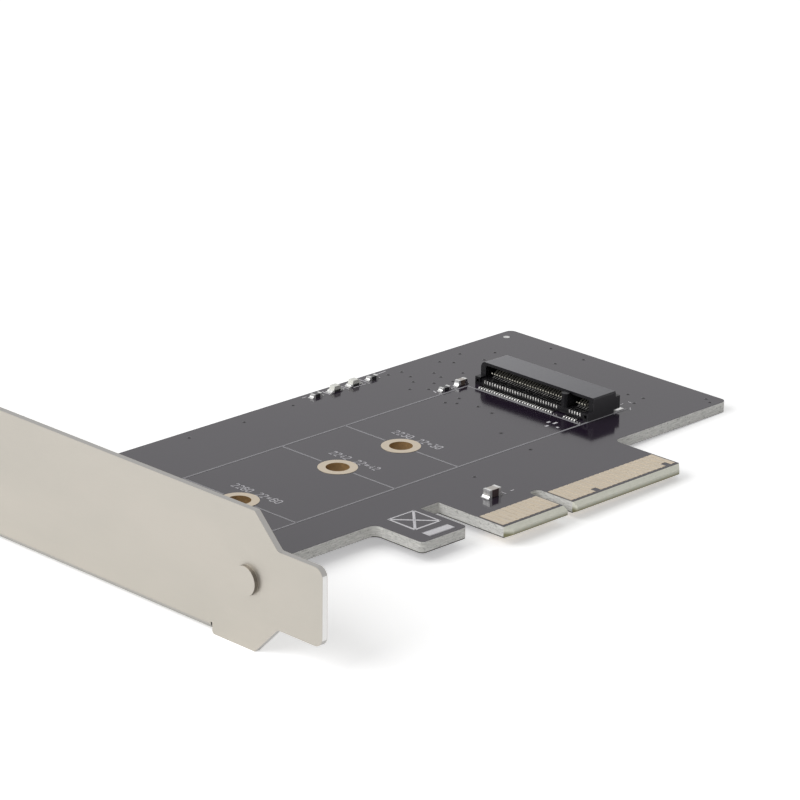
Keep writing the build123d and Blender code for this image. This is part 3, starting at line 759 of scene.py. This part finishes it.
def solder_fillet(draft, wall, way, middle, width, climb):
    """Adds a concave fillet of solder from a part's end wall down to its pad, in millimetres."""
    profile = [(0, BOARD_TOP)]
    for step in range(SOLDER_STEPS + 1):
        turn = math.pi / 2 * step / SOLDER_STEPS
        rise = SOLDER_TOE + (climb - SOLDER_TOE) * (1 - math.sin(turn))
        profile.append((SOLDER_REACH * (1 - math.cos(turn)), BOARD_TOP + rise))
    profile.append((SOLDER_REACH, BOARD_TOP))
    sides = []
    for side in (-1, 1):
        flares = [1 + SOLDER_FLARE * out / SOLDER_REACH for out, z in profile]
        sides.append([
            draft.verts.new(Vector((wall + way * out, middle + side * width / 2 * flare, z)) * MM)
            for (out, z), flare in zip(profile, flares)
        ])
    near, far = sides
    for place in range(len(profile)):
        after = (place + 1) % len(profile)
        draft.faces.new((near[place], near[after], far[after], far[place]))
    draft.faces.new(near)
    draft.faces.new(far)


tin_plate = tin_finish()
chip_ends = [f"{chip}_ends" for chip in CHIPS]
for name in ("socket_hold_down_left", "socket_hold_down_right", *chip_ends):
    dress(name, tin_plate)
pad_points = []
for number in range(1, CONTACT_COUNT + 1):
    if number not in KEYED_OUT:
        place = FRONT_PADS if number % 2 else REAR_PADS
        pad_points.append((place, FIELD_MIDDLE - (number - CONTACT_MIDDLE) * CONTACT_PITCH, BOARD_TOP))
dabbed("socket_pads", pad_points, PAD_RADIUS, PAD_HEIGHT, tin_plate, PAD_STRETCH)
dabbed("bearing_dot", [BEARING_DOT], BEARING_RADIUS, PAD_HEIGHT, tin_plate)
solder = bmesh.new()
for name in (*chip_ends, "lamp_left_base", "lamp_right_base"):
    low, high = [Vector(corner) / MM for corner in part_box(name)]
    climb = SOLDER_CLIMB * (high.z - low.z)
    middle = (low.y + high.y) / 2
    for wall, way in ((low.x, -1), (high.x, 1)):
        solder_fillet(solder, wall, way, middle, high.y - low.y, climb)
add_piece("solder_fillets", closed_mesh(solder, "solder"), tin_plate)


# Chip bodies: small blocks of fired ceramic between their tinned ends, brown for the capacitors and under
# a dark glaze for the resistors. Their ends are soldered to the board.
CERAMIC = (0.10, 0.075, 0.062)
CERAMIC_DARK = (0.040, 0.024, 0.026)
# The paler top of each capacitor body is a painted sheen.
CERAMIC_TOP_SHEEN = (0.48, 0.45, 0.42)
CERAMIC_SPECKLE = 1.5
CERAMIC_SKIN = 0.04
CERAMIC_ROUGHNESS = 0.42
CERAMIC_TEXTURE = 0.004
GLAZE = (0.02, 0.02, 0.022)
GLAZE_CLOUD = 1.8
GLAZE_ROUGHNESS = 0.25


def ceramic_finish(node, fired):
    finish = Finish(node)
    speckled = finish.shaded(fired, CERAMIC_SPECKLE, finish.grain(0.2, detail=5).between(0.35, 0.7))
    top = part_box(node)[1].z / MM - CERAMIC_SKIN
    # Painted sheen on the top face.
    colour = finish.blend(speckled, CERAMIC_TOP_SHEEN, finish.axes()[2] > top)
    texture = finish.bump(finish.grain(0.06), CERAMIC_TEXTURE)
    return finish.surface(Base_Color=colour, Roughness=CERAMIC_ROUGHNESS, Normal=texture)


def glaze_finish():
    finish = Finish("resistor_body")
    colour = finish.shaded(GLAZE, GLAZE_CLOUD, finish.grain(0.3))
    return finish.surface(Base_Color=colour, Roughness=GLAZE_ROUGHNESS)


resistor_body = glaze_finish()
for chip in ("lamp_resistor_left", "lamp_resistor_right", "socket_resistor"):
    dress(f"{chip}_body", resistor_body)
dress("socket_capacitor_body", ceramic_finish("socket_capacitor_body", CERAMIC))
dress("edge_capacitor_body", ceramic_finish("edge_capacitor_body", CERAMIC_DARK))


# Indicator lamps: a milky resin lens is moulded on a small laminate base, whose ends are tinned and
# soldered to the board. The middle of the base stays dark.
LENS_COLOUR = (0.80, 0.80, 0.74)
LENS_SHADE = 0.85
LENS_ROUGHNESS = 0.15
LENS_COAT = 0.5
BASE_DARK = (0.03, 0.03, 0.028)
BASE_TINNED = (0.85, 0.85, 0.83)
BASE_ROUGHNESS = 0.4
BASE_UNEVEN = 0.1
LAMPS_MIDDLE = 9.95
LAMPS_APART = 3.7
BARE_HALF = 0.6


def lens_finish():
    finish = Finish("lamp_lens")
    colour = finish.shaded(LENS_COLOUR, LENS_SHADE, finish.grain(0.5))
    return finish.surface(Base_Color=colour, Roughness=LENS_ROUGHNESS, Coat_Weight=LENS_COAT)


def laminate_finish():
    finish = Finish("lamp_base")
    from_lamp = abs(abs(finish.axes()[0] - LAMPS_MIDDLE) - LAMPS_APART / 2)
    colour = finish.blend(BASE_DARK, BASE_TINNED, from_lamp > BARE_HALF)
    roughness = BASE_ROUGHNESS + BASE_UNEVEN * finish.grain(0.2, detail=4)
    return finish.surface(Base_Color=colour, Roughness=roughness)


lamp_lens = lens_finish()
lamp_base = laminate_finish()
for side in ("left", "right"):
    dress(f"lamp_{side}_lens", lamp_lens)
    dress(f"lamp_{side}_base", lamp_base)


# Slot bracket: cold-rolled steel sheet, blanked, folded and then nickel-plated to a satin finish. The
# rolling grain runs along it. The blanked edge is rougher and darker than the faces, save for the end of the
# tongue, which is painted bright as a highlight, and the fold over the lugs lies in shade. The cut wall of
# the stud is cut steel, painted darker still as shade.
STEEL = (0.468, 0.440, 0.395)
STEEL_SHADE = (0.437, 0.415, 0.373)
STEEL_EDGE = (0.42, 0.41, 0.395)
# Painted highlight on the end of the tongue.
STEEL_END_HIGHLIGHT = (0.70, 0.695, 0.685)
STEEL_FOLD = (0.30, 0.29, 0.265)
# The stud's cut wall: cut steel, painted darker as shade.
STEEL_SHEARED_AND_SHADE = (0.23, 0.21, 0.185)
STUD_RISE = 0.6
TONGUE_END = -12.19
FOLD_ALONG = (7.5, 53.5)
FOLD_ABOVE = -1.75
FOLD_BELOW = -2.3
BRACKET_FACE = -57.15
SHEET = 0.86
SHEET_SKIN = 0.05
STUD_SKIN = 0.04
STEEL_ROUGHNESS = 0.36
STEEL_UNEVEN = 0.07
RIM_ROUGHER = 0.05
ROLLING_DEPTH = 0.0012


def steel_finish():
    finish = Finish("bracket_steel")
    x, y, height = finish.axes()
    rim = (x > BRACKET_FACE + SHEET_SKIN) * (x < BRACKET_FACE + SHEET - SHEET_SKIN)
    # The end of the tongue is painted bright as a highlight.
    edge = finish.blend(STEEL_EDGE, STEEL_END_HIGHLIGHT, y < TONGUE_END + SHEET_SKIN)
    clouds = finish.grain(9, (1, 2.5, 1), 3).between(0.3, 0.7)
    fold = (y > FOLD_ALONG[0]) * (y < FOLD_ALONG[1]) * height.between(FOLD_ABOVE, FOLD_BELOW)
    plated = finish.blend(finish.blend(STEEL, STEEL_SHADE, clouds), edge, rim)
    # The stud's cut wall is painted darker as shade.
    sheared_and_shaded = (x > BRACKET_FACE - STUD_RISE + STUD_SKIN) * (x < BRACKET_FACE - STUD_SKIN)
    colour = finish.blend(finish.blend(plated, STEEL_FOLD, fold), STEEL_SHEARED_AND_SHADE, sheared_and_shaded)
    brushed = finish.grain(0.35, (1, 20, 1), 3)
    roughness = STEEL_ROUGHNESS + STEEL_UNEVEN * brushed + RIM_ROUGHER * rim
    rolled = finish.bump(finish.grain(0.12, (1, 30, 1), 3), ROLLING_DEPTH)
    return finish.surface(Base_Color=colour, Metallic=1.0, Roughness=roughness, Normal=rolled)


bracket_steel = steel_finish()
dress("bracket", bracket_steel)


# Bracket screws: two zinc-plated pan heads with a cross recess, under the board. They clamp it to the lugs
# that are folded from the bracket.
ZINC = (0.62, 0.62, 0.63)
ZINC_SHADE = 0.75
ZINC_ROUGHNESS = 0.3


def zinc_finish():
    finish = Finish("screw_steel")
    colour = finish.shaded(ZINC, ZINC_SHADE, finish.grain(0.6, detail=4))
    return finish.surface(Base_Color=colour, Metallic=1.0, Roughness=ZINC_ROUGHNESS)


screw_steel = zinc_finish()
dress("bracket_screw_lower", screw_steel)
dress("bracket_screw_upper", screw_steel)
